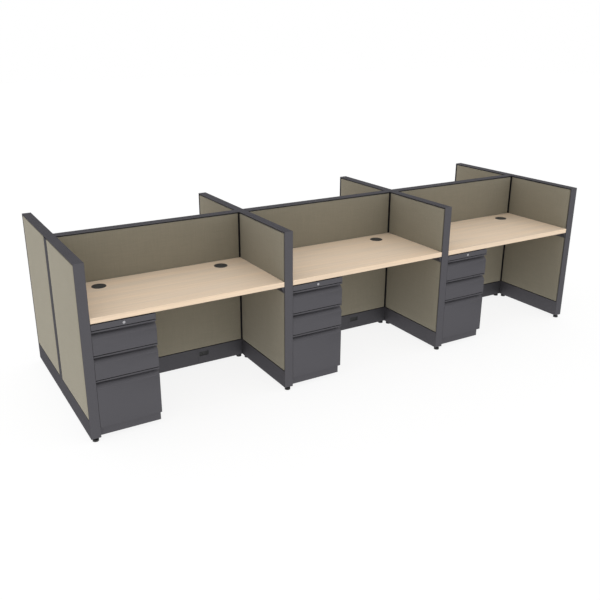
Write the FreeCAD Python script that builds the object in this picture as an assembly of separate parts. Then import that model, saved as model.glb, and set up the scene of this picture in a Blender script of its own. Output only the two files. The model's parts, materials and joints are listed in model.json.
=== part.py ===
"""A cluster of six cubicle workstations: three side by side, with three more back to back with them.

Low panels stand on a spine and four wing lines. Each station has a worksurface with two cable grommets,
carried on brackets, and a pedestal with two box drawers and a file drawer under its left end.

Frame: millimetres, +Z up, +X along the spine, -Y out of the front row. The origin is the middle of the
cluster on the floor. A station's pieces are drawn for the middle station of the front row and then moved.
"""
import FreeCAD
import Part
import os

V = FreeCAD.Vector

# Cluster layout
columns = ("left", "middle", "right")
rows = ("front", "rear")
station_pitch = 1265.0
panel_thickness = 58.0
panel_height = 1065.0
wing_past_worksurface = 2.4

# Panel frames and posts
frame_thickness = 38.0
frame_sheet = 1.5
upright_width = 38.0
rail_height = 38.0
leg_bottom = 24.0
post_width = 50.0
post_wall = 2.0

# Tiles
reveal = 8.0
corner_reveal = 7.0
tile_rounding = 2.5
tile_top_gap = 7.5
tile_foot_gap = 4.0

# Raceway covers, their seam and the power outlet
raceway_bottom = 22.0
raceway_height = 115.0
cover_sheet = 1.2
cover_rounding = 1.4
outlet_offset = 307.0
outlet_bottom = 80.0
outlet_width = 67.0
outlet_height = 30.0
outlet_recess = 4.0
outlet_rounding = 0.8
outlet_clearance = 0.4
outlet_face_width = 26.0
outlet_face_height = 22.0
outlet_face_rise = 0.8
seam_to_outlet = 12.0
seam_width = 3.0
seam_tongue = 16.0
power_module_length = 180.0

# Caps, end trims and outer strips
cap_sheet = 1.6
cap_skirt = 6.0
cap_rounding = 1.4
trim_joint = 0.5
end_trim_depth = 6.8
end_trim_bottom = 23.0
strip_rib_offset = 15.0

# Levelling glides
glide_radius = 18.5
glide_pad_height = 12.0
glide_cone_height = 3.0
glide_stem_radius = 5.0
glide_nut_across = 17.0
glide_nut_height = 5.0
glide_stem_above = 12.0
glide_hole_clearance = 0.3

# Worksurfaces
worksurface_top = 748.0
worksurface_thickness = 32.0
worksurface_depth = 610.0
worksurface_rear_gap = 4.0
worksurface_side_gap = 1.5
edge_band_thickness = 2.0
edge_band_rounding = 1.5

# Grommets: a liner with a flange, and a cap that lifts out of it
grommet_from_side = 196.5
grommet_from_rear = 109.0
liner_flange_radius = 44.5
liner_flange_height = 2.2
liner_tube_radius = 37.8
liner_tube_length = 26.0
liner_bore_radius = 34.3
liner_neck_radius = 35.8
liner_neck_depth = 9.0
liner_hole_clearance = 0.3
cap_seat_depth = 1.9
cap_seat_radius = 40.4
cap_clearance = 0.3
grommet_cap_skirt = 7.5
grommet_cap_wall = 1.8

# Worksurface brackets, and the screws into the worksurface's underside
bracket_sheet = 2.5
bracket_flange = 18.0
bracket_drop = 42.0
bracket_front_setback = 5.0
bracket_rear_setback = 70.0
left_bracket_setback = 12.0
bracket_bays = 2
screw_head_radius = 4.5
screw_head_height = 1.8
screw_shank_radius = 2.2
screw_length = 16.0
screw_clearance = 0.3

# Pedestal case and base
pedestal_width = 369.0
pedestal_depth = 457.0
pedestal_side_gap = 1.0
pedestal_top_gap = 6.0
pedestal_setback = 0.4
case_sheet = 1.2
case_bottom = 79.0
base_recess = 30.0
base_bottom = 20.0
base_sheet = 1.5
base_glide_inset = 70.0
fixing_inset = 75.0
spacer_radius = 8.0
fascia_height = 34.0

# Drawers
front_depth = 25.0
front_sheet = 1.5
front_rounding = 1.2
front_gap = 4.0
front_liner = 1.2
front_to_case = 2.0
liner_inset = 3.0
box_front_height = 144.5
pull_height = 46.0
pull_lip = 8.5
pull_hem = 3.0
pull_ramp_top = 19.0
pull_ramp_drop = 2.4
ramp_depth_share = 0.47
ramp_rise_share = 0.54
tray_sheet = 1.2
tray_foot_gap = 14.0
box_tray_height = 98.0
file_tray_height = 240.0
tray_rear_gap = 26.0
hang_rail_height = 12.0
hang_rail_thickness = 3.0

# Drawer slides: a channel on the case and one nested in it on the drawer
slide_room = 13.0
slide_height = 45.0
slide_sheet = 1.3
slide_running = 0.3
slide_back_gap = 0.9
slide_flange = 10.0
slide_front_setback = 19.0
slide_length = 400.0
box_slide_rise = 40.0
file_slide_rise = 150.0

# Lock, its cam and the lock bar
lock_head_radius = 8.2
lock_head_rise = 1.6
lock_head_gap = 0.2
lock_head_rounding = 0.8
lock_barrel_radius = 7.0
lock_barrel_clearance = 0.3
lock_barrel_length = 18.0
key_slot_width = 1.4
key_slot_height = 8.0
key_slot_depth = 1.0
cam_length = 14.0
cam_width = 9.0
cam_thickness = 1.8
lock_bar_sheet = 1.4
lock_bar_width = 16.0
lock_bar_arm_height = 10.0
lock_bar_foot = 114.0
lock_bar_gap = 0.6
lock_hook_reach = 5.0
lock_hook_height = 8.0

# Helper lengths for cuts and for finding edges
overrun = 2.0
same_place = 0.001

# Places that follow from the sizes above
half_pitch = station_pitch / 2
half_panel = panel_thickness / 2
half_frame = frame_thickness / 2
half_post = post_width / 2
cap_under = panel_height - cap_sheet
skirt_bottom = panel_height - cap_skirt
raceway_top = raceway_bottom + raceway_height
tile_bottom = raceway_top + tile_foot_gap
tile_top = skirt_bottom - tile_top_gap
wall_x = half_pitch - half_panel
worksurface_bottom = worksurface_top - worksurface_thickness
worksurface_rear = -half_panel - worksurface_rear_gap
worksurface_front = worksurface_rear - worksurface_depth
wing_reach = wing_past_worksurface - worksurface_front
wing_frame_end = wing_reach - cap_sheet
wing_cap_end = wing_reach - end_trim_depth
worksurface_side = wall_x - worksurface_side_gap
grommet_x = worksurface_side - grommet_from_side
grommet_y = worksurface_rear - grommet_from_rear
pedestal_left = -wall_x + pedestal_side_gap
pedestal_right = pedestal_left + pedestal_width
pedestal_top = worksurface_bottom - pedestal_top_gap
face_y = -wing_reach + pedestal_setback
pedestal_back = face_y + pedestal_depth
pan_back = face_y + front_depth
liner_back = pan_back + front_liner
case_front = liner_back + front_to_case
tray_back = pedestal_back - tray_rear_gap
fascia_bottom = pedestal_top - fascia_height
upper_box_top = fascia_bottom - front_gap
lower_box_top = upper_box_top - box_front_height - front_gap
file_top = lower_box_top - box_front_height - front_gap
file_front_height = file_top - case_bottom - front_gap
lock_x = (pedestal_left + pedestal_right) / 2
lock_z = (pedestal_top + fascia_bottom) / 2


def box(x_low, x_high, y_low, y_high, z_low, z_high):
    """A block between two corners."""
    size = (x_high - x_low, y_high - y_low, z_high - z_low)
    return Part.makeBox(*size, V(x_low, y_low, z_low))


def upright_cylinder(radius, x, y, z_low, z_high):
    return Part.makeCylinder(radius, z_high - z_low, V(x, y, z_low))


def edges_on(shape, **planes):
    """The edges that lie in every named plane, such as y=0.0 with z=top."""
    found = []
    for edge in shape.Edges:
        span = edge.BoundBox
        ends = {"x": (span.XMin, span.XMax), "y": (span.YMin, span.YMax), "z": (span.ZMin, span.ZMax)}
        if all(abs(end - value) < same_place for axis, value in planes.items() for end in ends[axis]):
            found.append(edge)
    return found


def rounded(shape, radius, *places):
    """Rounds the edges found at each place, which is a dictionary of planes."""
    edges = [edge for planes in places for edge in edges_on(shape, **planes)]
    return shape.makeFillet(radius, edges)


def turned(shape, degrees):
    """The shape turned about the vertical axis through the origin."""
    copy = shape.copy()
    copy.rotate(V(0, 0, 0), V(0, 0, 1), degrees)
    return copy


def moved(shape, x):
    copy = shape.copy()
    copy.translate(V(x, 0, 0))
    return copy


def mirrored(shape):
    """The shape mirrored from the right side of its station to the left."""
    return shape.mirror(V(0, 0, 0), V(1, 0, 0))


def column_x(column):
    return (columns.index(column) - (len(columns) - 1) / 2) * station_pitch


def at_station(shapes, row, column):
    """Carries shapes drawn for the front row's middle station to another station."""
    degrees = 180 if row == "rear" else 0
    return [moved(turned(shape, degrees), column_x(column)) for shape in shapes]


def at_every_station(shapes):
    return [copy for row in rows for column in columns for copy in at_station(shapes, row, column)]


def wing_line_x(line):
    """The place along the spine of one of the wing lines, counted from the left."""
    return (line - len(columns) / 2) * station_pitch


def on_every_wing(shapes):
    """Carries shapes drawn along +X from the spine's centre to each front and rear wing panel."""
    placed = []
    for line in range(len(columns) + 1):
        for degrees in (-90, 90):
            placed += [moved(turned(shape, degrees), wing_line_x(line)) for shape in shapes]
    return placed


def on_every_spine_panel(shapes):
    return [moved(shape, column_x(column)) for column in columns for shape in shapes]


# Panel frames

def panel_frame(start, end):
    """A welded frame of open channels: two uprights that reach the glides, a top rail and a lower rail."""
    frame = box(start, end, -half_frame, half_frame, leg_bottom, cap_under)
    inner = (start + frame_sheet, end - frame_sheet, frame_sheet - half_frame, half_frame - frame_sheet)
    across = (start + upright_width, end - upright_width, -half_frame - overrun, half_frame + overrun)
    lower_hollow = box(*inner, leg_bottom + frame_sheet, raceway_top)
    upper_hollow = box(*inner, raceway_top + frame_sheet, cap_under - frame_sheet)
    window = box(*across, raceway_top + rail_height, cap_under - rail_height)
    raceway = box(*across, leg_bottom - overrun, raceway_top)
    frame = frame.cut([lower_hollow, upper_hollow, window, raceway])
    return frame.cut([glide_hole(x, 0, leg_bottom, frame_sheet) for x in glide_places(start, end)])


def glide_places(start, end):
    return (start + upright_width / 2, end - upright_width / 2)


def connector_post():
    post = box(-half_post, half_post, -half_post, half_post, leg_bottom, cap_under)
    inner = half_post - post_wall
    return post.cut(box(-inner, inner, -inner, inner, leg_bottom - overrun, cap_under + overrun))


# Tiles

def tile(start, end, side):
    """A fabric-wrapped tile on one face of a frame. Side is 1 or -1 along Y."""
    faces = sorted((side * half_frame, side * half_panel))
    slab = box(start, end, *faces, tile_bottom, tile_top)
    front = side * half_panel
    places = [{"y": front, "x": start}, {"y": front, "x": end}]
    places += [{"y": front, "z": tile_bottom}, {"y": front, "z": tile_top}]
    return rounded(slab, tile_rounding, *places)


# Raceway

def raceway_cover(start, end, side):
    """A pressed cover over the raceway, with a return at its top and at its foot."""
    outer_faces = sorted((side * half_frame, side * half_panel))
    cover = box(start, end, *outer_faces, raceway_bottom, raceway_top)
    inner_faces = sorted((side * (half_frame - overrun), side * (half_panel - cover_sheet)))
    ends = (start - overrun, end + overrun)
    cover = cover.cut(box(*ends, *inner_faces, raceway_bottom + cover_sheet, raceway_top - cover_sheet))
    front = side * half_panel
    return rounded(cover, cover_rounding,
                   {"y": front, "z": raceway_bottom}, {"y": front, "z": raceway_top})


def outlet_span(margin):
    """The outlet's sides, low edge and top, grown by a margin."""
    left = outlet_offset - outlet_width / 2 - margin
    right = outlet_offset + outlet_width / 2 + margin
    return left, right, outlet_bottom - margin, outlet_bottom + outlet_height + margin


def spine_covers():
    """The two covers on the front face of a spine panel. The first has a tongue that closes the seam from
    behind, and the second is cut for the outlet."""
    left, right, low, high = outlet_span(outlet_clearance)
    seam = outlet_offset - outlet_width / 2 - seam_to_outlet
    first = raceway_cover(half_panel + trim_joint - half_pitch, seam - seam_width / 2, -1)
    tongue = box(seam - seam_tongue / 2, seam + seam_tongue / 2,
                 cover_sheet - half_panel, 2 * cover_sheet - half_panel,
                 raceway_bottom + 2 * cover_sheet, raceway_top - 2 * cover_sheet)
    first = first.fuse(tongue).removeSplitter()
    second = raceway_cover(seam + seam_width / 2, half_pitch - half_panel - trim_joint, -1)
    second = second.cut(box(left, right, -half_panel - overrun, -half_frame, low, high))
    return [first, second]


def power_outlet():
    """A twin outlet lying on its side: a body set back in the cover's cut-out, with two raised faces."""
    left, right, low, high = outlet_span(0)
    front = -half_panel + outlet_recess
    body = rounded(box(left, right, front, -half_frame, low, high), outlet_rounding,
                   {"y": front, "x": left}, {"y": front, "x": right},
                   {"y": front, "z": low}, {"y": front, "z": high})
    middle = (low + high) / 2
    faces = []
    for side in (-1, 1):
        centre = outlet_offset + side * outlet_width / 4
        sides = (centre - outlet_face_width / 2, centre + outlet_face_width / 2)
        heights = (middle - outlet_face_height / 2, middle + outlet_face_height / 2)
        faces.append(box(*sides, front - outlet_face_rise, -half_frame, *heights))
    return body.fuse(faces).removeSplitter()


def power_module():
    """The block in the raceway that feeds an outlet, hung under the lower rail."""
    sides = (outlet_offset - power_module_length / 2, outlet_offset + power_module_length / 2)
    low = outlet_bottom - (raceway_top - outlet_bottom - outlet_height)
    return box(*sides, -half_frame, half_frame, low, raceway_top)


# Caps and trims

def top_cap(start, end):
    """A channel that lies over the top of a panel, with its skirts down over the tiles' edges."""
    cap = box(start, end, -half_panel, half_panel, skirt_bottom, panel_height)
    inner = half_panel - cap_sheet
    cap = cap.cut(box(start - overrun, end + overrun, -inner, inner, skirt_bottom - overrun, cap_under))
    return rounded(cap, cap_rounding,
                   {"y": -half_panel, "z": panel_height}, {"y": half_panel, "z": panel_height})


def junction_cap(outer_side):
    """A square plate over a post. Outer side is -1 or 1 where it has a skirt at the spine's end, else 0."""
    plate = box(-half_panel, half_panel, -half_panel, half_panel, cap_under, panel_height)
    if not outer_side:
        return plate
    outside = outer_side * half_panel
    faces = sorted((outside, outside - outer_side * cap_sheet))
    plate = plate.fuse(box(*faces, -half_panel, half_panel, skirt_bottom, cap_under)).removeSplitter()
    return rounded(plate, cap_rounding, {"x": outside, "z": panel_height})


def end_trim():
    """The channel that closes the free end of a wing panel, from its foot to its top."""
    trim = box(wing_cap_end, wing_reach, -half_panel, half_panel, end_trim_bottom, panel_height)
    inner = half_panel - cap_sheet
    back = wing_cap_end - overrun
    trim = trim.cut(box(back, wing_frame_end, -inner, inner, end_trim_bottom - overrun, cap_under))
    places = [{"x": wing_reach, "y": -half_panel}, {"x": wing_reach, "y": half_panel}]
    places += [{"x": wing_reach, "z": panel_height}]
    places += [{"y": -half_panel, "z": panel_height}, {"y": half_panel, "z": panel_height}]
    return rounded(trim, cap_rounding, *places)


def outer_strip():
    """The strip over the post at the spine's right end, with two ribs that stand on the post."""
    heights = (raceway_bottom, tile_top)
    strip = box(half_panel - cap_sheet, half_panel, -half_panel, half_panel, *heights)
    ribs = []
    for side in (-1, 1):
        faces = (side * strip_rib_offset - cap_sheet / 2, side * strip_rib_offset + cap_sheet / 2)
        ribs.append(box(half_post, half_panel - cap_sheet, *faces, *heights))
    strip = strip.fuse(ribs).removeSplitter()
    return rounded(strip, cap_rounding,
                   {"x": half_panel, "y": -half_panel}, {"x": half_panel, "y": half_panel})


# Levelling glides

def glide_hole(x, y, underside, sheet):
    """The clearance hole for a glide's stem in a sheet whose underside is given."""
    radius = glide_stem_radius + glide_hole_clearance
    return upright_cylinder(radius, x, y, underside - overrun, underside + sheet + overrun)


def glide(x, y, seat):
    """A round foot on a threaded stem, with its nut under the seat that it screws up through."""
    pad = upright_cylinder(glide_radius, x, y, 0, glide_pad_height)
    pad = pad.makeFillet(glide_pad_height / 4, [pad.Edges[0]])
    cone = Part.makeCone(glide_radius - glide_pad_height / 4, glide_stem_radius, glide_cone_height,
                         V(x, y, glide_pad_height))
    stem = upright_cylinder(glide_stem_radius, x, y, glide_pad_height, seat + glide_stem_above)
    corner = V(glide_nut_across / 3 ** 0.5, 0, 0)
    points = []
    for step in range(6):
        turn = FreeCAD.Rotation(V(0, 0, 1), 60 * step)
        points.append(turn.multVec(corner) + V(x, y, seat - glide_nut_height))
    nut = Part.Face(Part.makePolygon(points + points[:1])).extrude(V(0, 0, glide_nut_height))
    return pad.fuse([cone, stem, nut]).removeSplitter()


# Worksurface

def worksurface_extent(inset):
    sides = (inset - worksurface_side, worksurface_side - inset)
    depths = (worksurface_front + inset, worksurface_rear - inset)
    return box(*sides, *depths, worksurface_bottom, worksurface_top)


def grommet_centres():
    return [(side * grommet_x, grommet_y) for side in (-1, 1)]


def right_bracket_run():
    """The front and rear ends of the bracket on the right wing."""
    return worksurface_front + bracket_front_setback, worksurface_rear - bracket_rear_setback


def left_bracket_run():
    """The ends of the bracket on the left wing, which lies behind the pedestal."""
    return pedestal_back + left_bracket_setback, worksurface_rear - left_bracket_setback


def bay_length(run):
    """The length of one of a bracket's bays. Gussets, where it has them, stand between bays."""
    front, rear = run
    return (rear - front - bracket_sheet) / bracket_bays


def bay_screws(run):
    """The screws of a bracket drawn on the right wing, one in the middle of each bay."""
    x = wall_x - bracket_flange / 2
    return [(x, run[0] + bay_length(run) * (number + 0.5)) for number in range(bracket_bays)]


def bracket_screws():
    return bay_screws(right_bracket_run()) + [(-x, y) for x, y in bay_screws(left_bracket_run())]


def fixing_centres():
    """The screws that join the pedestal's top to the worksurface through spacers."""
    x_places = (pedestal_left + fixing_inset, pedestal_right - fixing_inset)
    y_places = (case_front + fixing_inset, pedestal_back - fixing_inset)
    return [(x, y) for x in x_places for y in y_places]


def screw_hole(x, y, low, high):
    return upright_cylinder(screw_shank_radius + screw_clearance, x, y, low - overrun, high)


def worksurface():
    core = worksurface_extent(edge_band_thickness)
    cuts = []
    for x, y in grommet_centres():
        radius = liner_tube_radius + liner_hole_clearance
        heights = (worksurface_bottom - overrun, worksurface_top + overrun)
        cuts.append(upright_cylinder(radius, x, y, *heights))
    for x, y in fixing_centres() + bracket_screws():
        hole_top = worksurface_bottom + screw_length + screw_clearance
        cuts.append(screw_hole(x, y, worksurface_bottom, hole_top))
    return core.cut(cuts)


def edge_band():
    band = worksurface_extent(0).cut(worksurface_extent(edge_band_thickness))
    places = []
    for z in (worksurface_bottom, worksurface_top):
        places += [{"x": -worksurface_side, "z": z}, {"x": worksurface_side, "z": z}]
        places += [{"y": worksurface_front, "z": z}, {"y": worksurface_rear, "z": z}]
    for x in (-worksurface_side, worksurface_side):
        places += [{"x": x, "y": worksurface_front}, {"x": x, "y": worksurface_rear}]
    return rounded(band, edge_band_rounding, *places)


def grommet_liner(x, y):
    """The fixed ring of a grommet: a flange on the worksurface and a tube with a wider neck for the cap."""
    flange_top = worksurface_top + liner_flange_height
    foot = worksurface_top - liner_tube_length
    neck_foot = worksurface_top - liner_neck_depth
    flange = upright_cylinder(liner_flange_radius, x, y, worksurface_top, flange_top)
    flange = flange.makeFillet(liner_flange_height / 2, [flange.Edges[0]])
    tube = upright_cylinder(liner_tube_radius, x, y, foot, worksurface_top)
    seat = upright_cylinder(cap_seat_radius, x, y, flange_top - cap_seat_depth, flange_top + overrun)
    neck = upright_cylinder(liner_neck_radius, x, y, neck_foot, flange_top)
    bore = upright_cylinder(liner_bore_radius, x, y, foot - overrun, neck_foot)
    return flange.fuse(tube).removeSplitter().cut([seat, neck, bore])


def grommet_cap(x, y):
    """The lid of a grommet: a disc in the liner's seat over a short skirt in its neck."""
    top = worksurface_top + liner_flange_height
    under = top - cap_seat_depth + cap_clearance
    disc = upright_cylinder(cap_seat_radius - cap_clearance, x, y, under, top)
    disc = disc.makeFillet((top - under) / 3, [disc.Edges[0]])
    radius = liner_neck_radius - cap_clearance
    skirt = upright_cylinder(radius, x, y, under - grommet_cap_skirt, under)
    hollow = upright_cylinder(radius - grommet_cap_wall, x, y, under - grommet_cap_skirt - overrun, under)
    return disc.fuse(skirt.cut(hollow)).removeSplitter()


# Brackets

def bracket(run, gussets):
    """An angle drawn on the right wing, with a leg on the wing and a flange under the worksurface."""
    front, rear = run
    flange_under = worksurface_bottom - bracket_sheet
    foot = worksurface_bottom - bracket_drop
    inner = wall_x - bracket_flange
    flange = box(inner, wall_x, front, rear, flange_under, worksurface_bottom)
    leg = box(wall_x - bracket_sheet, wall_x, front, rear, foot, flange_under)
    plates = [leg]
    for number in range(gussets):
        y = front + bay_length(run) * number
        corners = [V(inner, y, flange_under), V(wall_x - bracket_sheet, y, flange_under)]
        corners += [V(wall_x - bracket_sheet, y, foot)]
        web = Part.Face(Part.makePolygon(corners + corners[:1]))
        plates.append(web.extrude(V(0, bracket_sheet, 0)))
    holes = [screw_hole(x, y, flange_under, worksurface_bottom + overrun) for x, y in bay_screws(run)]
    return flange.fuse(plates).removeSplitter().cut(holes)


def screw(x, y, under):
    """A screw into the worksurface from below, with its head against a sheet whose underside is given."""
    head = upright_cylinder(screw_head_radius, x, y, under - screw_head_height, under)
    head = head.makeFillet(screw_head_height / 2, [head.Edges[2]])
    return head.fuse(upright_cylinder(screw_shank_radius, x, y, under, worksurface_bottom + screw_length))


# Pedestal case

def case_plates():
    """The case: two sides, a top, a back and a bottom, the lock rail, and spacers up to the worksurface."""
    left, right = pedestal_left, pedestal_right
    inner = (left + case_sheet, right - case_sheet)
    back = pedestal_back - case_sheet
    plates = [box(left, inner[0], case_front, pedestal_back, case_bottom, pedestal_top)]
    plates += [box(inner[1], right, case_front, pedestal_back, case_bottom, pedestal_top)]
    top = box(*inner, case_front, pedestal_back, pedestal_top - case_sheet, pedestal_top)
    holes = [screw_hole(x, y, pedestal_top - case_sheet, worksurface_bottom) for x, y in fixing_centres()]
    plates += [top.cut(holes)]
    plates += [box(*inner, back, pedestal_back, case_bottom, pedestal_top - case_sheet)]
    plates += [box(*inner, case_front, back, case_bottom, case_bottom + case_sheet)]
    return plates + [lock_rail()] + [spacer(x, y) for x, y in fixing_centres()]


def spacer(x, y):
    ring = upright_cylinder(spacer_radius, x, y, pedestal_top, worksurface_bottom)
    return ring.cut(screw_hole(x, y, pedestal_top, worksurface_bottom + overrun))


def lock_rail():
    """The fixed rail above the drawers, hollow towards the case, with the lock's hole."""
    rail = box(pedestal_left, pedestal_right, face_y, case_front, fascia_bottom, pedestal_top)
    rail = rounded(rail, front_rounding, *front_edges(fascia_bottom, pedestal_top))
    sides = (pedestal_left + case_sheet, pedestal_right - case_sheet)
    heights = (fascia_bottom + case_sheet, pedestal_top - case_sheet)
    hollow = box(*sides, face_y + case_sheet, case_front + overrun, *heights)
    radius = lock_barrel_radius + lock_barrel_clearance
    hole = along_y(radius, face_y - overrun, case_sheet + 2 * overrun)
    return rail.cut([hollow, hole])


def front_edges(low, high):
    """The four edges round the front face of a piece as wide as the pedestal."""
    places = [{"y": face_y, "x": pedestal_left}, {"y": face_y, "x": pedestal_right}]
    return places + [{"y": face_y, "z": low}, {"y": face_y, "z": high}]


def base_corners():
    """The places of the pedestal's glides."""
    x_places = (pedestal_left + base_glide_inset, pedestal_right - base_glide_inset)
    y_places = (face_y + base_recess + base_glide_inset, pedestal_back - base_glide_inset)
    return [(x, y) for x in x_places for y in y_places]


def pedestal_base():
    """The recessed base: a tub under the case with holes for the glides' stems."""
    front = face_y + base_recess
    tub = box(pedestal_left, pedestal_right, front, pedestal_back, base_bottom, case_bottom)
    sides = (pedestal_left + base_sheet, pedestal_right - base_sheet)
    depths = (front + base_sheet, pedestal_back - base_sheet)
    cuts = [box(*sides, *depths, base_bottom + base_sheet, case_bottom + overrun)]
    for x, y in base_corners():
        cuts.append(glide_hole(x, y, base_bottom, base_sheet))
    return tub.cut(cuts)


# Drawer slides

def slide_channel(root_x, tip_x, centre_z, height):
    """A C-shaped channel whose back is at root_x and whose flanges end at tip_x."""
    start = case_front + slide_front_setback
    sides = sorted((root_x, tip_x))
    toward = 1 if tip_x > root_x else -1
    hollow = sorted((root_x + toward * slide_sheet, tip_x + toward * overrun))
    channel = box(*sides, start, start + slide_length, centre_z - height / 2, centre_z + height / 2)
    inner = height / 2 - slide_sheet
    ends = (start - overrun, start + slide_length + overrun)
    return channel.cut(box(*hollow, *ends, centre_z - inner, centre_z + inner))


def fixed_slides(centre_z):
    left = pedestal_left + case_sheet
    right = pedestal_right - case_sheet
    return [slide_channel(left, left + slide_flange, centre_z, slide_height),
            slide_channel(right, right - slide_flange, centre_z, slide_height)]


def moving_slides(centre_z):
    height = slide_height - 2 * slide_sheet - 2 * slide_running
    room = slide_room - slide_sheet - slide_back_gap
    left = pedestal_left + case_sheet + slide_room
    right = pedestal_right - case_sheet - slide_room
    return [slide_channel(left, left - room, centre_z, height),
            slide_channel(right, right + room, centre_z, height)]


# Drawers

def front_pan(bottom, top):
    """The flat lower part of a drawer front, a pan open at its back."""
    pan = box(pedestal_left, pedestal_right, face_y, pan_back, bottom, top)
    pan = rounded(pan, front_rounding, *front_edges(bottom, top)[:3])
    sides = (pedestal_left + front_sheet, pedestal_right - front_sheet)
    depths = (face_y + front_sheet, pan_back + overrun)
    return pan.cut(box(*sides, *depths, bottom + front_sheet, top - front_sheet))


def pull_strip(top):
    """The full-width pull: a hemmed lip, a finger channel behind it and a curved ramp down to the front."""
    wall = pan_back - front_sheet
    ramp_high = top - pull_ramp_top
    ramp_low = top - pull_height

    def ramp(drop):
        """The ramp's curve, lowered by drop."""
        middle = V(0, face_y + (wall - face_y) * ramp_depth_share,
                   ramp_low - drop + (ramp_high - ramp_low) * ramp_rise_share)
        return Part.Arc(V(0, wall, ramp_high - drop), middle, V(0, face_y, ramp_low - drop)).toShape()

    under = pull_ramp_drop
    lines = [
        [V(0, face_y, ramp_low), V(0, face_y, ramp_low - under)],
        [V(0, wall, ramp_high - under), V(0, pan_back, ramp_high - under), V(0, pan_back, top)],
        [V(0, pan_back, top), V(0, face_y, top), V(0, face_y, top - pull_lip)],
        [V(0, face_y, top - pull_lip), V(0, face_y + pull_hem, top - pull_lip)],
        [V(0, face_y + pull_hem, top - pull_lip), V(0, face_y + pull_hem, top - front_sheet)],
        [V(0, face_y + pull_hem, top - front_sheet), V(0, wall, top - front_sheet), V(0, wall, ramp_high)],
    ]
    edges = [ramp(0), ramp(under)]
    for line in lines:
        edges += Part.makePolygon(line).Edges
    outline = Part.Wire(Part.__sortEdges__(edges))
    strip = Part.Face(outline).extrude(V(pedestal_width, 0, 0))
    strip = moved(strip, pedestal_left)
    return rounded(strip, front_rounding, {"y": face_y, "z": top}, {"y": face_y, "z": top - pull_lip})


def tray_sides():
    return (pedestal_left + case_sheet + slide_room, pedestal_right - case_sheet - slide_room)


def tray_plates(bottom, height, rails):
    """A drawer's body behind its front: two sides, a back and a bottom, and rails for hanging files."""
    left, right = tray_sides()
    inner = (left + tray_sheet, right - tray_sheet)
    top = bottom + height
    plates = [box(left, inner[0], liner_back, tray_back, bottom, top)]
    plates += [box(inner[1], right, liner_back, tray_back, bottom, top)]
    plates += [box(*inner, tray_back - tray_sheet, tray_back, bottom, top)]
    plates += [box(*inner, liner_back, tray_back - tray_sheet, bottom, bottom + tray_sheet)]
    if rails:
        run = (liner_back, tray_back - tray_sheet, top - hang_rail_height, top)
        plates.append(box(inner[0], inner[0] + hang_rail_thickness, *run))
        plates.append(box(inner[1] - hang_rail_thickness, inner[1], *run))
    return plates


def drawer(top, height, tray_height, slide_rise, rails=False):
    """One drawer: its front pan, pull, liner, tray and the slides' moving members."""
    bottom = top - height
    tray_foot = bottom + tray_foot_gap
    sides = (pedestal_left + liner_inset, pedestal_right - liner_inset)
    liner = box(*sides, pan_back, liner_back, bottom + liner_inset, top - liner_inset)
    pieces = [front_pan(bottom, top - pull_height - pull_ramp_drop), pull_strip(top), liner]
    pieces += tray_plates(tray_foot, tray_height, rails)
    return pieces + moving_slides(tray_foot + slide_rise)


drawer_sizes = {
    "upper_box_drawer": (upper_box_top, box_front_height, box_tray_height, box_slide_rise),
    "lower_box_drawer": (lower_box_top, box_front_height, box_tray_height, box_slide_rise),
    "file_drawer": (file_top, file_front_height, file_tray_height, file_slide_rise, True),
}


def slide_centre(name):
    top, height, _, slide_rise = drawer_sizes[name][:4]
    return top - height + tray_foot_gap + slide_rise


# Lock

def along_y(radius, start, length):
    """A cylinder on the lock's axis, from a place along Y."""
    return Part.makeCylinder(radius, length, V(lock_x, start, lock_z), V(0, 1, 0))


def lock_cylinder():
    """A lock's face and barrel with the cam behind the rail's face. Its key slot is upright at rest."""
    head_front = face_y - lock_head_rise
    head = along_y(lock_head_radius, head_front, lock_head_rise - lock_head_gap)
    head = rounded(head, lock_head_rounding, {"y": head_front})
    barrel = along_y(lock_barrel_radius, face_y - lock_head_gap, lock_head_gap + lock_barrel_length)
    slot = box(lock_x - key_slot_width / 2, lock_x + key_slot_width / 2, head_front - overrun,
               head_front + key_slot_depth, lock_z - key_slot_height / 2, lock_z + key_slot_height / 2)
    cam_start = face_y + lock_barrel_length
    cam = box(lock_x, lock_x + cam_length, cam_start, cam_start + cam_thickness,
              lock_z - cam_width / 2, lock_z + cam_width / 2)
    boss = along_y(cam_width / 2, cam_start, cam_thickness)
    return head.fuse([barrel, cam, boss]).removeSplitter().cut(slot)


def lock_bar():
    """The bar that the cam lifts to hold the drawers: an arm to the case's side and a strip with hooks."""
    wall = pedestal_right - case_sheet
    strip_x = wall - lock_bar_sheet
    arm_front = liner_back + lock_bar_gap
    strip_front = case_front + lock_bar_gap
    arm_top = lock_z + lock_bar_arm_height / 2
    arm_foot = lock_z - lock_bar_arm_height / 2
    arm = box(lock_x + cam_length / 2, wall, arm_front, arm_front + lock_bar_sheet, arm_foot, arm_top)
    strip = box(strip_x, wall, arm_front, strip_front + lock_bar_width, lock_bar_foot, arm_top)
    bar = arm.fuse(strip)
    below = fascia_bottom + case_sheet + lock_bar_gap
    bar = bar.cut(box(strip_x - overrun, wall + overrun, arm_front - overrun, strip_front,
                      lock_bar_foot - overrun, below))
    hooks = []
    for name in drawer_sizes:
        foot = slide_centre(name) + slide_height / 2 + lock_bar_gap
        hooks.append(box(strip_x - lock_hook_reach, strip_x, strip_front,
                         strip_front + lock_bar_sheet, foot, foot + lock_hook_height))
    return bar.fuse(hooks).removeSplitter()


# Writing the nodes

def save(name, shapes):
    """Writes one node. Its shapes stay separate solids."""
    solids = [solid for shape in shapes for solid in shape.Solids]
    for solid in solids:
        if not solid.isValid():
            print("not valid:", name)
    shape = Part.makeCompound(solids) if len(solids) > 1 else solids[0]
    shape.exportStep("parts/" + name + ".step")


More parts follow.
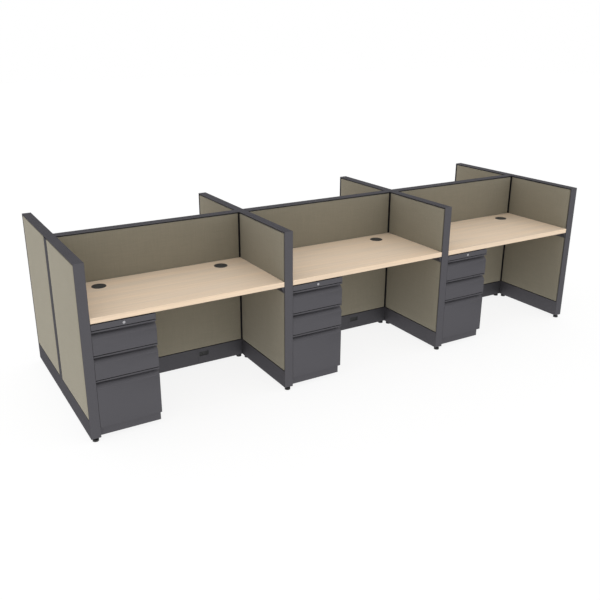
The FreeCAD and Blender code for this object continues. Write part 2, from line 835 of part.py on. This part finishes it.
spine_run = (half_post - half_pitch, half_pitch - half_post)
spine_tile_run = (half_panel + corner_reveal - half_pitch, half_pitch - half_panel - corner_reveal)
spine_cap_run = (half_panel + trim_joint - half_pitch, half_pitch - half_panel - trim_joint)
wing_run = (half_post, wing_frame_end)
wing_tile_run = (half_panel + corner_reveal, wing_cap_end - reveal)
wing_cap_run = (half_panel + trim_joint, wing_cap_end - trim_joint)
wing_cover_run = (half_panel + trim_joint, wing_cap_end - trim_joint)


def save_panels():
    save("spine_frames", on_every_spine_panel([panel_frame(*spine_run)]))
    save("wing_frames", on_every_wing([panel_frame(*wing_run)]))
    save("spine_tiles", on_every_spine_panel([tile(*spine_tile_run, side) for side in (-1, 1)]))
    save("wing_tiles", on_every_wing([tile(*wing_tile_run, side) for side in (-1, 1)]))
    lines = range(len(columns) + 1)
    save("connector_posts", [moved(connector_post(), wing_line_x(line)) for line in lines])
    caps = []
    for line in lines:
        outer_side = {0: -1, len(columns): 1}.get(line, 0)
        caps.append(moved(junction_cap(outer_side), wing_line_x(line)))
    save("junction_caps", caps)
    spine_caps = on_every_spine_panel([top_cap(*spine_cap_run)])
    save("top_caps", spine_caps + on_every_wing([top_cap(*wing_cap_run)]))
    save("end_trims", on_every_wing([end_trim()]))
    right_strip = moved(outer_strip(), wing_line_x(len(columns)))
    save("outer_strips", [right_strip, turned(right_strip, 180)])


def save_raceways():
    save("spine_raceway_covers", at_every_station(spine_covers()))
    save("wing_raceway_covers", on_every_wing([raceway_cover(*wing_cover_run, side) for side in (-1, 1)]))
    save("power_outlets", at_every_station([power_outlet()]))
    save("power_modules", at_every_station([power_module()]))


def save_glides():
    spine_glides = [glide(x, 0, leg_bottom) for x in glide_places(*spine_run)]
    wing_glides = [glide(x, 0, leg_bottom) for x in glide_places(*wing_run)]
    save("levelling_glides", on_every_spine_panel(spine_glides) + on_every_wing(wing_glides))
    save("pedestal_glides", at_every_station([glide(x, y, base_bottom) for x, y in base_corners()]))


def save_worksurfaces():
    save("worksurfaces", at_every_station([worksurface()]))
    save("worksurface_edge_bands", at_every_station([edge_band()]))
    save("grommet_liners", at_every_station([grommet_liner(x, y) for x, y in grommet_centres()]))
    brackets = [bracket(right_bracket_run(), bracket_bays + 1), mirrored(bracket(left_bracket_run(), 0))]
    save("worksurface_brackets", at_every_station(brackets))
    under_flange = worksurface_bottom - bracket_sheet
    screws = [screw(x, y, under_flange) for x, y in bracket_screws()]
    screws += [screw(x, y, pedestal_top - case_sheet) for x, y in fixing_centres()]
    save("worksurface_screws", at_every_station(screws))


def save_pedestals():
    save("pedestal_cases", at_every_station(case_plates()))
    save("pedestal_bases", at_every_station([pedestal_base()]))
    slides = [slide for name in drawer_sizes for slide in fixed_slides(slide_centre(name))]
    save("drawer_slides", at_every_station(slides))
    save("lock_bars", at_every_station([lock_bar()]))


def save_moving_pieces():
    """Each drawer, lock and grommet cap is a node of its own, because each moves by itself."""
    drawers = {name: drawer(*sizes) for name, sizes in drawer_sizes.items()}
    caps = {side: grommet_cap(x, y) for side, (x, y) in zip(("left", "right"), grommet_centres())}
    for row in rows:
        for column in columns:
            station = row + "_" + column
            for name, shapes in drawers.items():
                save(station + "_" + name, at_station(shapes, row, column))
            save(station + "_lock", at_station([lock_cylinder()], row, column))
            for side, cap in caps.items():
                save(station + "_" + side + "_grommet_cap", at_station([cap], row, column))


if __name__ == "__main__":
    os.makedirs("parts", exist_ok=True)
    save_panels()
    save_raceways()
    save_glides()
    save_worksurfaces()
    save_pedestals()
    save_moving_pieces()
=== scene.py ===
"""The looks of a cluster of six cubicle workstations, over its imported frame. Units are metres.

The frame's nodes keep their shapes and get materials. The fabric-wrapped tiles, the power outlets
and the drawers are made anew from their nodes' boxes or meshes, and stand for those nodes.
"""

import json
import math

import bmesh
import bpy
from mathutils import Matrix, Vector


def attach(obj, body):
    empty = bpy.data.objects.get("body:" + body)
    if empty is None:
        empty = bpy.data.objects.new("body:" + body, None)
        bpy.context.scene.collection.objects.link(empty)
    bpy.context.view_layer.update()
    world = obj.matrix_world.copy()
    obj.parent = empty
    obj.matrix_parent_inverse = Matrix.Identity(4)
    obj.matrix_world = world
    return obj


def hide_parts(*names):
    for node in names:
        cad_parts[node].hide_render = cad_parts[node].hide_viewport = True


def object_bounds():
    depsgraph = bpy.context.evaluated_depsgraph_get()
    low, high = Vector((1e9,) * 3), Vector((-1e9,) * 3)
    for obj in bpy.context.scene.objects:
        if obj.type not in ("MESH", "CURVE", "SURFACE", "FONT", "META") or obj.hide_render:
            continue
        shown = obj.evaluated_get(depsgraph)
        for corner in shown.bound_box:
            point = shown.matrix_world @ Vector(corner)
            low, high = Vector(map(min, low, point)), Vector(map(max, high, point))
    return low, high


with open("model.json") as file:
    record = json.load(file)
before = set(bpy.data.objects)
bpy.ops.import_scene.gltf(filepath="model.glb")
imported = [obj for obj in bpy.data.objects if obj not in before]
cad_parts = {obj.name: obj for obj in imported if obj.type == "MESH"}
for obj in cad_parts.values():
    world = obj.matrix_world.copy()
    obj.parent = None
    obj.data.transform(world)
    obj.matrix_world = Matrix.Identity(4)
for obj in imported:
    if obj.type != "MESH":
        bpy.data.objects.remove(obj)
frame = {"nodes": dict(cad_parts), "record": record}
cad_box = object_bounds()

# Camera, fitted to the edges of the photographed panels
camera_place = (-2.7671, -4.3323, 2.2111)
camera_target = (-0.2364, 0.0, 0.3918)
camera_lens = 43.82
camera_shift = (0.014, -0.0101)

# Sky and floor. The floor sends its glow to the cluster. Where it is seen, it is white by its own
# light, but for a share that the sky lights to about floor_daylight, where the shadow can show.
sky_strength = 1.0
floor_glow = 0.84
floor_shadow_share = 0.15
floor_daylight = 0.9
floor_size = 60.0

# Lamp at the cluster's left, sized by the cluster's height
side_light_power = 30.0
side_light_distance = 2.6
side_light_length = 3.0
side_light_height_share = 0.8

# Meshes
weld_distance = 1e-6
sorting_digits = 4
sharp_angle = math.radians(30)
flat_angle = math.radians(1)

# Fabric tiles
tile_roll = 0.0035
tile_crown = 0.0006
tile_grid = 0.06
tile_fewest_steps = 2
roll_shares = (0, 0.08, 0.3, 0.6, 1)

# Power outlets: two sockets on their sides, each with two blade slots and an earth hole. A hole is
# its place from the socket's middle, its width and its height.
socket_width = 0.026
socket_height = 0.022
socket_rise = 0.0008
socket_slot_depth = 0.006
blade_slots = ((-0.0045, 0.0055, 0.0075, 0.0018), (-0.0045, -0.0055, 0.0065, 0.0018))
earth_hole = (0.0065, 0.0, 0.0048, 0.0048)
outlet_bevel = 0.0003
outlet_bevel_segments = 2

# Drawers: which of a drawer's solids are its slides
slide_width_range = (0.005, 0.02)
slide_shortest = 0.3

# Colours, as linear values
charcoal = (0.119, 0.116, 0.127)
# The same charcoal paint, darkened with painted shade for the shade that falls on the spine's
# raceway covers under the desks
raceway_shade_charcoal = (0.092, 0.09, 0.098)
frame_black = (0.04, 0.04, 0.043)
khaki = (0.245, 0.222, 0.167)
maple = (0.785, 0.64, 0.493)
maple_band = (0.93, 0.75, 0.57)
grommet_grey = (0.036, 0.039, 0.04)
outlet_grey = (0.023, 0.0235, 0.024)
glide_black = (0.01, 0.01, 0.01)
zinc = (0.55, 0.56, 0.58)
nickel = (0.43, 0.427, 0.44)

# Noises: features for each metre, squeeze along X, Y and Z, detail, roughness
even = (1, 1, 1)
paint_peel = (900, even, 2, 0.5)
paint_cloud = (5, even, 4, 0.5)
paint_flakes = (2600, even, 0, 0.5)
upright_yarns = (8, (60, 60, 1), 4, 0.7)
level_yarns = (8, (1, 1, 60), 4, 0.7)
cloth_cloud = (2.2, even, 3, 0.5)
wood_bands = (1.5, (0.5, 9, 9), 5, 0.55)
wood_streaks = (6, (0.3, 24, 24), 4, 0.6)
wood_pores = (60, (0.5, 16, 16), 2, 0.5)
plastic_cloud = (30, even, 3, 0.5)
drawn_lines = (40, (1, 1, 30), 3, 0.6)
turned_lines = (40, (20, 1, 20), 3, 0.6)

# Spans: what a noise is mapped to, low and high, and the part of its range that is mapped
paint_cloud_tone = (0.93, 1.07, 0.0, 1.0)
paint_flake_tone = (0.9, 1.1, 0.3, 0.7)
yarn_tone = (0.86, 1.14, 0.6, 1.4)
weave_tone = (0.93, 1.05, -1.0, 1.0)
cloth_cloud_tone = (0.97, 1.03, 0.0, 1.0)
band_tone = (0.94, 1.05, 0.3, 0.7)
streak_tone = (0.93, 1.05, 0.35, 0.65)
pore_tone = (0.95, 1.0, 0.3, 0.45)
band_warmth = (0.0, 0.5, 0.35, 0.7)
streak_roughness = (0.42, 0.54, 0.0, 1.0)
plastic_cloud_tone = (0.9, 1.1, 0.0, 1.0)
metal_line_tone = (0.9, 1.08, 0.3, 0.7)

# Heights of the shaders' reliefs
peel_height = 0.00012
cloth_height = 0.0003
pore_height = 0.00005
pebble_height = 0.00008
line_height = 0.00002

# Other settings of the materials. A roughness spreads by so much below and above its middle.
paint_metallic = 0.85
paint_edge_tint = (0.2, 0.2, 0.2, 1)
paint_roughness_spread = (0.05, 0.05)
weave_pitch = 0.0022
weave_relief_share = 0.5
cloth_roughness = 0.92
cloth_specular = 0.15
cloth_sheen = 0.12
cloth_sheen_roughness = 0.6
warm_tint = (1, 0.93, 0.84)
laminate_specular = 0.1
pebble_scale = 900
plastic_roughness_spread = (0.06, 0.06)
metal_roughness_spread = (0.06, 0.08)


# Node trees

def add(tree, kind, inputs=None, **settings):
    """Adds a shader node. Inputs are values or the sockets that feed them."""
    node = tree.nodes.new("ShaderNode" + kind)
    for name, value in settings.items():
        setattr(node, name, value)
    for name, value in (inputs or {}).items():
        if isinstance(value, bpy.types.NodeSocket):
            tree.links.new(value, node.inputs[name])
        else:
            node.inputs[name].default_value = value
    return node


def maths(tree, operation, first, second=0.0):
    return add(tree, "Math", {0: first, 1: second}, operation=operation).outputs[0]


def new_material(name, colour):
    """A material with its Principled shader and the object's own coordinates, in metres."""
    material = bpy.data.materials.new(name)
    material.use_nodes = True
    material.diffuse_color = (*colour, 1)
    tree = material.node_tree
    shader = tree.nodes["Principled BSDF"]
    place = add(tree, "TexCoord").outputs["Object"]
    return material, tree, shader, place


def noise(tree, place, scale, stretch, detail, roughness):
    """Noise with features about 1/scale metres wide, squeezed along each axis by its stretch."""
    mapped = add(tree, "Mapping", {"Vector": place, "Scale": stretch}).outputs[0]
    settings = {"Vector": mapped, "Scale": scale, "Detail": detail, "Roughness": roughness}
    return add(tree, "TexNoise", settings).outputs["Fac"]


def span(tree, value, low, high, start=0.0, end=1.0):
    """Maps a value from start..end to low..high."""
    inputs = {"Value": value, "From Min": start, "From Max": end, "To Min": low, "To Max": high}
    return add(tree, "MapRange", inputs).outputs[0]


def around(tree, value, middle, spread):
    """Maps a value from 0..1 to a range about a middle."""
    below, above = spread
    return span(tree, value, middle - below, middle + above)


def shaded(tree, colour, factor):
    """A colour multiplied by a grey factor."""
    return add(tree, "VectorMath", {0: colour, 3: factor}, operation="SCALE").outputs[0]


def bump(tree, height, distance):
    return add(tree, "Bump", {"Height": height, "Distance": distance}).outputs[0]


# Materials

def powder_coat(name, colour, roughness):
    """Metallic paint: an orange peel, faint clouding, and flakes that keep edges from glaring."""
    material, tree, shader, place = new_material(name, colour)
    peel = noise(tree, place, *paint_peel)
    cloud = noise(tree, place, *paint_cloud)
    flakes = noise(tree, place, *paint_flakes)
    tone = maths(tree, "MULTIPLY", span(tree, cloud, *paint_cloud_tone),
                 span(tree, flakes, *paint_flake_tone))
    gloss = around(tree, cloud, roughness, paint_roughness_spread)
    tree.links.new(shaded(tree, colour, tone), shader.inputs["Base Color"])
    tree.links.new(gloss, shader.inputs["Roughness"])
    tree.links.new(bump(tree, peel, peel_height), shader.inputs["Normal"])
    shader.inputs["Metallic"].default_value = paint_metallic
    shader.inputs["Specular Tint"].default_value = paint_edge_tint
    return material


def woven_fabric(name, colour):
    """A plain-woven panel cloth: a fine weave, uneven yarns both ways and a soft sheen."""
    material, tree, shader, place = new_material(name, colour)
    axes = add(tree, "SeparateXYZ", {0: place}).outputs
    across = maths(tree, "ADD", axes[0], axes[1])
    warp = maths(tree, "SINE", maths(tree, "MULTIPLY", across, math.tau / weave_pitch))
    weft = maths(tree, "SINE", maths(tree, "MULTIPLY", axes[2], math.tau / weave_pitch))
    weave = maths(tree, "MULTIPLY", warp, weft)
    upright = noise(tree, place, *upright_yarns)
    level = noise(tree, place, *level_yarns)
    cloud = noise(tree, place, *cloth_cloud)
    yarns = maths(tree, "ADD", upright, level)
    tone = maths(tree, "MULTIPLY", span(tree, yarns, *yarn_tone), span(tree, weave, *weave_tone))
    tone = maths(tree, "MULTIPLY", tone, span(tree, cloud, *cloth_cloud_tone))
    height = maths(tree, "ADD", maths(tree, "MULTIPLY", weave, weave_relief_share), yarns)
    tree.links.new(shaded(tree, colour, tone), shader.inputs["Base Color"])
    tree.links.new(bump(tree, height, cloth_height), shader.inputs["Normal"])
    shader.inputs["Roughness"].default_value = cloth_roughness
    shader.inputs["Specular IOR Level"].default_value = cloth_specular
    shader.inputs["Sheen Weight"].default_value = cloth_sheen
    shader.inputs["Sheen Roughness"].default_value = cloth_sheen_roughness
    return material


def laminate(name, colour):
    """Light maple with its grain along X: broad bands, fine streaks and short pores."""
    material, tree, shader, place = new_material(name, colour)
    bands = noise(tree, place, *wood_bands)
    streaks = noise(tree, place, *wood_streaks)
    pores = noise(tree, place, *wood_pores)
    tone = maths(tree, "MULTIPLY", span(tree, bands, *band_tone),
                 span(tree, streaks, *streak_tone))
    tone = maths(tree, "MULTIPLY", tone, span(tree, pores, *pore_tone))
    warm_colour = [value * share for value, share in zip(colour, warm_tint)]
    blend = {"Factor": span(tree, bands, *band_warmth), "A": (*colour, 1), "B": (*warm_colour, 1)}
    warmed = add(tree, "Mix", blend, data_type="RGBA").outputs[2]
    tree.links.new(shaded(tree, warmed, tone), shader.inputs["Base Color"])
    tree.links.new(span(tree, streaks, *streak_roughness), shader.inputs["Roughness"])
    tree.links.new(bump(tree, pores, pore_height), shader.inputs["Normal"])
    shader.inputs["Specular IOR Level"].default_value = laminate_specular
    return material


def moulded_plastic(name, colour, roughness):
    """Plastic with a fine pebbled skin."""
    material, tree, shader, place = new_material(name, colour)
    cells = {"Vector": place, "Scale": pebble_scale}
    pebble = add(tree, "TexVoronoi", cells, feature="SMOOTH_F1").outputs["Distance"]
    cloud = noise(tree, place, *plastic_cloud)
    tone = span(tree, cloud, *plastic_cloud_tone)
    gloss = around(tree, cloud, roughness, plastic_roughness_spread)
    tree.links.new(shaded(tree, colour, tone), shader.inputs["Base Color"])
    tree.links.new(gloss, shader.inputs["Roughness"])
    tree.links.new(bump(tree, pebble, pebble_height), shader.inputs["Normal"])
    return material


def bare_metal(name, colour, roughness, lines_noise):
    """Bare metal with drawn or turned lines and slightly uneven gloss."""
    material, tree, shader, place = new_material(name, colour)
    lines = noise(tree, place, *lines_noise)
    tone = span(tree, lines, *metal_line_tone)
    gloss = around(tree, lines, roughness, metal_roughness_spread)
    tree.links.new(shaded(tree, colour, tone), shader.inputs["Base Color"])
    tree.links.new(gloss, shader.inputs["Roughness"])
    tree.links.new(bump(tree, lines, line_height), shader.inputs["Normal"])
    shader.inputs["Metallic"].default_value = 1.0
    return material


# The material of each slot, and two that are darker than their slots' own: a darker plastic for the
# outlets, and for the spine's raceway covers the charcoal paint darkened with painted shade for the
# shade under the desks
materials = {
    "charcoal_metal": powder_coat("charcoal_powder_coat", charcoal, roughness=0.6),
    "dark_frame": powder_coat("dark_frame_paint", frame_black, roughness=0.7),
    "khaki_fabric": woven_fabric("khaki_panel_fabric", khaki),
    "maple_laminate": laminate("maple_laminate", maple),
    "maple_edge": laminate("maple_edge_band", maple_band),
    "charcoal_plastic": moulded_plastic("charcoal_plastic", grommet_grey, roughness=0.5),
    "black_plastic": moulded_plastic("black_plastic", glide_black, roughness=0.45),
    "zinc_steel": bare_metal("zinc_plated_steel", zinc, 0.38, drawn_lines),
    "bright_lock": bare_metal("polished_nickel", nickel, 0.2, turned_lines),
}
raceway_shade_coat = powder_coat("raceway_powder_coat", raceway_shade_charcoal, roughness=0.6)
outlet_plastic = moulded_plastic("outlet_plastic", outlet_grey, roughness=0.6)

slot_of = {part["node"]: part["material_slot"] for part in frame["record"]["subparts"]}
for node_name, node in frame["nodes"].items():
    for material_slot in node.material_slots:
        material_slot.material = materials[slot_of[node_name]]
        # The spine's raceway covers take the darker paint, which is painted shade for the shade
        # under the desks
        if node_name == "spine_raceway_covers":
            material_slot.material = raceway_shade_coat


# Mesh helpers

def node_mesh(node_name):
    """A welded copy of a node's mesh."""
    mesh = bmesh.new()
    mesh.from_mesh(frame["nodes"][node_name].data)
    bmesh.ops.remove_doubles(mesh, verts=mesh.verts, dist=weld_distance)
    return mesh


def islands(mesh):
    """The separate solids of a mesh, each as its vertices with its lowest and highest corner."""
    found = []
    seen = set()
    for start in mesh.verts:
        if start in seen:
            continue
        seen.add(start)
        island = [start]
        for vert in island:
            for edge in vert.link_edges:
                other = edge.other_vert(vert)
                if other not in seen:
                    seen.add(other)
                    island.append(other)
        low = Vector([min(vert.co[axis] for vert in island) for axis in range(3)])
        high = Vector([max(vert.co[axis] for vert in island) for axis in range(3)])
        found.append((island, low, high))
    return found


def solid_boxes(node_name):
    """The lowest and highest corner of each separate solid of a node, in order along X, Y and Z."""
    mesh = node_mesh(node_name)
    boxes = [(low, high) for _, low, high in islands(mesh)]
    mesh.free()
    return sorted(boxes, key=lambda pair: tuple(round(value, sorting_digits) for value in pair[0]))


def piece(name, mesh, slot, body="structure"):
    """Makes an object of a bmesh, smooth but for its sharp edges.

    It has a slot's material and rides on a body.
    """
    data = bpy.data.meshes.new(name)
    bmesh.ops.recalc_face_normals(mesh, faces=mesh.faces)
    mesh.to_mesh(data)
    mesh.free()
    made = bpy.data.objects.new(name, data)
    bpy.context.scene.collection.objects.link(made)
    data.materials.append(materials[slot])
    data.shade_smooth()
    data.set_sharp_from_angle(angle=sharp_angle)
    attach(made, body)
    return made


# Fabric-wrapped tiles

def tile_lines(length):
    """Places across a tile: close together where the cloth rolls over an edge, and even between."""
    edge = [tile_roll * share for share in roll_shares]
    count = max(tile_fewest_steps, round((length - 2 * tile_roll) / tile_grid))
    step = (length - 2 * tile_roll) / count
    middle = [tile_roll + step * number for number in range(1, count)]
    return edge + middle + [length - place for place in reversed(edge)]


def rise(place, length):
    """How far the cloth has rolled up from a tile's edge, from 0 to 1."""
    inward = min(place, length - place, tile_roll) / tile_roll
    return math.sqrt(1 - (1 - inward) ** 2)


def fabric_tile(name, low, high, thin_axis, outward):
    """A board with cloth wrapped over its face and edges, slightly crowned, in its solid's box."""
    long_axis = 1 - thin_axis
    size = high - low
    width, height, depth = size[long_axis], size.z, size[thin_axis]
    back = low[thin_axis] if outward > 0 else high[thin_axis]
    mesh = bmesh.new()

    def point(along, up, out):
        co = Vector((0, 0, low.z + up))
        co[long_axis] = low[long_axis] + along
        co[thin_axis] = back + outward * out
        return mesh.verts.new(co)

    columns, rows = tile_lines(width), tile_lines(height)
    grid = []
    for up in rows:
        line = []
        for along in columns:
            roll = rise(along, width) * rise(up, height)
            crown = math.sin(math.pi * along / width) * math.sin(math.pi * up / height)
            out = depth - tile_roll - tile_crown + tile_roll * roll + tile_crown * crown
            line.append(point(along, up, out))
        grid.append(line)
    for lower, upper in zip(grid, grid[1:]):
        for number in range(len(columns) - 1):
            mesh.faces.new((lower[number], lower[number + 1], upper[number + 1], upper[number]))
    right_side = [line[-1] for line in grid[1:-1]]
    left_side = [line[0] for line in grid[-2:0:-1]]
    rim = grid[0] + right_side + grid[-1][::-1] + left_side
    foot = []
    for vert in rim:
        co = vert.co.copy()
        co[thin_axis] = back
        foot.append(mesh.verts.new(co))
    for number in range(len(rim)):
        following = (number + 1) % len(rim)
        mesh.faces.new((rim[number], foot[number], foot[following], rim[following]))
    mesh.faces.new(foot)
    return piece(name, mesh, "khaki_fabric")


def nearest(places, value):
    return min(places, key=lambda place: abs(place - value))


wing_lines = [(low.x + high.x) / 2 for low, high in solid_boxes("connector_posts")]
for number, (low, high) in enumerate(solid_boxes("spine_tiles")):
    outward = math.copysign(1, low.y + high.y)
    made = fabric_tile("spine_tile_" + str(number + 1), low, high, 1, outward)
    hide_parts("spine_tiles")
for number, (low, high) in enumerate(solid_boxes("wing_tiles")):
    middle = (low.x + high.x) / 2
    outward = math.copysign(1, middle - nearest(wing_lines, middle))
    made = fabric_tile("wing_tile_" + str(number + 1), low, high, 0, outward)
    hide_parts("wing_tiles")


# Power outlets

def relief(mesh, across, up, depth_at, back, place):
    """A block whose front is cut to steps. Each cell of its grid asks its depth from depth_at."""
    depths = {}
    for column in range(len(across) - 1):
        for row in range(len(up) - 1):
            middle = ((across[column] + across[column + 1]) / 2, (up[row] + up[row + 1]) / 2)
            depths[column, row] = depth_at(*middle)

    def face(*corners):
        mesh.faces.new([mesh.verts.new(place(*corner)) for corner in corners])

    def level(depth, left, right, low, high):
        face((left, depth, low), (right, depth, low), (right, depth, high), (left, depth, high))

    def side(x, near, far, low, high):
        if near != far:
            face((x, near, low), (x, far, low), (x, far, high), (x, near, high))

    def shelf(z, near, far, left, right):
        if near != far:
            face((left, near, z), (left, far, z), (right, far, z), (right, near, z))

    for (column, row), depth in depths.items():
        left, right, low, high = across[column], across[column + 1], up[row], up[row + 1]
        level(depth, left, right, low, high)
        level(back, left, right, low, high)
        side(right, depth, depths.get((column + 1, row), back), low, high)
        shelf(high, depth, depths.get((column, row + 1), back), left, right)
        if column == 0:
            side(left, depth, back, low, high)
        if row == 0:
            shelf(low, depth, back, left, right)
    bmesh.ops.remove_doubles(mesh, verts=mesh.verts, dist=weld_distance)


def outlet(name, low, high, outward):
    """A twin outlet in the box of its solid: a plate with two raised sockets and their slots."""
    middle = (low + high) / 2
    width, depth, height = high - low
    sockets = [(centre, 0, socket_width, socket_height) for centre in (-width / 4, width / 4)]
    holes = [(centre + x, z, wide, tall) for centre, *_ in sockets
             for x, z, wide, tall in blade_slots + (earth_hole,)]

    def holds(shapes, x, z):
        return any(abs(x - middle_x) < wide / 2 and abs(z - middle_z) < tall / 2
                   for middle_x, middle_z, wide, tall in shapes)

    def depth_at(x, z):
        if holds(holes, x, z):
            return socket_slot_depth
        return 0.0 if holds(sockets, x, z) else socket_rise

    def place(x, y, z):
        front = low.y if outward < 0 else high.y
        return (middle.x - outward * x, front - outward * y, middle.z + z)

    across = {-width / 2, width / 2}
    up = {-height / 2, height / 2}
    for x, z, wide, tall in sockets + holes:
        across |= {x - wide / 2, x + wide / 2}
        up |= {z - tall / 2, z + tall / 2}
    mesh = bmesh.new()
    relief(mesh, sorted(across), sorted(up), depth_at, depth, place)
    bmesh.ops.recalc_face_normals(mesh, faces=mesh.faces)
    bmesh.ops.dissolve_limit(mesh, angle_limit=flat_angle, verts=mesh.verts, edges=mesh.edges)
    corners = [edge for edge in mesh.edges if edge.calc_face_angle(0) > sharp_angle]
    bmesh.ops.bevel(mesh, geom=corners, offset=outlet_bevel, segments=outlet_bevel_segments,
                    affect="EDGES", clamp_overlap=True)
    return piece(name, mesh, "charcoal_plastic")


for number, (low, high) in enumerate(solid_boxes("power_outlets")):
    outward = math.copysign(1, low.y + high.y)
    made = outlet("power_outlet_" + str(number + 1), low, high, outward)
    made.material_slots[0].material = outlet_plastic
    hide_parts("power_outlets")


# Drawers

def is_slide(low, high):
    width, length, _ = high - low
    return slide_width_range[0] < width < slide_width_range[1] and length > slide_shortest


def dress_drawer(node_name):
    """Stands two pieces for a drawer, so that its slides are zinc and all the rest is painted."""
    endings = (("_painted", "charcoal_metal", False), ("_slides", "zinc_steel", True))
    for ending, slot, wanted in endings:
        mesh = node_mesh(node_name)
        other = [vert for island, low, high in islands(mesh)
                 if is_slide(low, high) != wanted for vert in island]
        bmesh.ops.delete(mesh, geom=other, context="VERTS")
        made = piece(node_name + ending, mesh, slot, body=node_name)
        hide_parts(node_name)


for node_name in frame["nodes"]:
    if node_name.endswith("_drawer"):
        dress_drawer(node_name)


# Stage, lights and camera

def make_floor():
    """A pale floor. It shows as white where nothing shades it, and keeps the cluster's shadow."""
    mesh = bmesh.new()
    bmesh.ops.create_grid(mesh, x_segments=2, y_segments=2, size=floor_size / 2)
    data = bpy.data.meshes.new("floor")
    mesh.to_mesh(data)
    mesh.free()
    floor = bpy.data.objects.new("floor", data)
    bpy.context.scene.collection.objects.link(floor)
    material = bpy.data.materials.new("floor_white")
    material.use_nodes = True
    tree = material.node_tree
    tree.nodes.remove(tree.nodes["Principled BSDF"])
    rays = add(tree, "LightPath").outputs
    seen = maths(tree, "ADD", rays["Is Camera Ray"], rays["Is Glossy Ray"])
    seen = maths(tree, "ADD", seen, rays["Is Transmission Ray"])
    share = floor_shadow_share
    shaded_part = add(tree, "BsdfDiffuse", {"Color": (share, share, share, 1)}).outputs[0]
    lit_part = add(tree, "Emission", {"Strength": 1 - floor_daylight * share}).outputs[0]
    shown = add(tree, "AddShader", {0: shaded_part, 1: lit_part}).outputs[0]
    glow = add(tree, "Emission", {"Strength": floor_glow}).outputs[0]
    mixed = add(tree, "MixShader", {0: seen, 1: glow, 2: shown}).outputs[0]
    tree.links.new(mixed, tree.nodes["Material Output"].inputs["Surface"])
    data.materials.append(material)


def make_sky():
    """An even white sky that lights the cluster and shows as plain white behind it."""
    world = bpy.data.worlds.new("studio_sky")
    bpy.context.scene.world = world
    world.use_nodes = True
    tree = world.node_tree
    rays = add(tree, "LightPath").outputs
    seen = maths(tree, "ADD", rays["Is Camera Ray"], rays["Is Glossy Ray"])
    seen = maths(tree, "ADD", seen, rays["Is Transmission Ray"])
    strength = span(tree, seen, sky_strength, 1)
    background = tree.nodes["Background"]
    background.inputs["Color"].default_value = (1, 1, 1, 1)
    tree.links.new(strength, background.inputs["Strength"])


def make_side_light():
    """A long lamp at the left, below the panels' tops, so that it lights the outer side only."""
    low, high = cad_box
    height = high[2] * side_light_height_share
    data = bpy.data.lights.new("side_light", "AREA")
    data.shape = "RECTANGLE"
    data.size, data.size_y = side_light_length, height
    data.energy = side_light_power
    light = bpy.data.objects.new("side_light", data)
    light.location = (low[0] - side_light_distance, (low[1] + high[1]) / 2, height / 2)
    light.rotation_euler = (math.pi / 2, 0, -math.pi / 2)
    light.visible_camera = False
    light.visible_glossy = False
    bpy.context.scene.collection.objects.link(light)


def make_camera():
    data = bpy.data.cameras.new("camera")
    data.lens = camera_lens
    data.shift_x, data.shift_y = camera_shift
    camera = bpy.data.objects.new("camera", data)
    camera.location = camera_place
    sight = Vector(camera_target) - Vector(camera_place)
    camera.rotation_euler = sight.to_track_quat("-Z", "Y").to_euler()
    bpy.context.scene.collection.objects.link(camera)
    bpy.context.scene.camera = camera


make_floor()
make_sky()
make_side_light()
make_camera()
bpy.context.scene.view_settings.view_transform = "Standard"
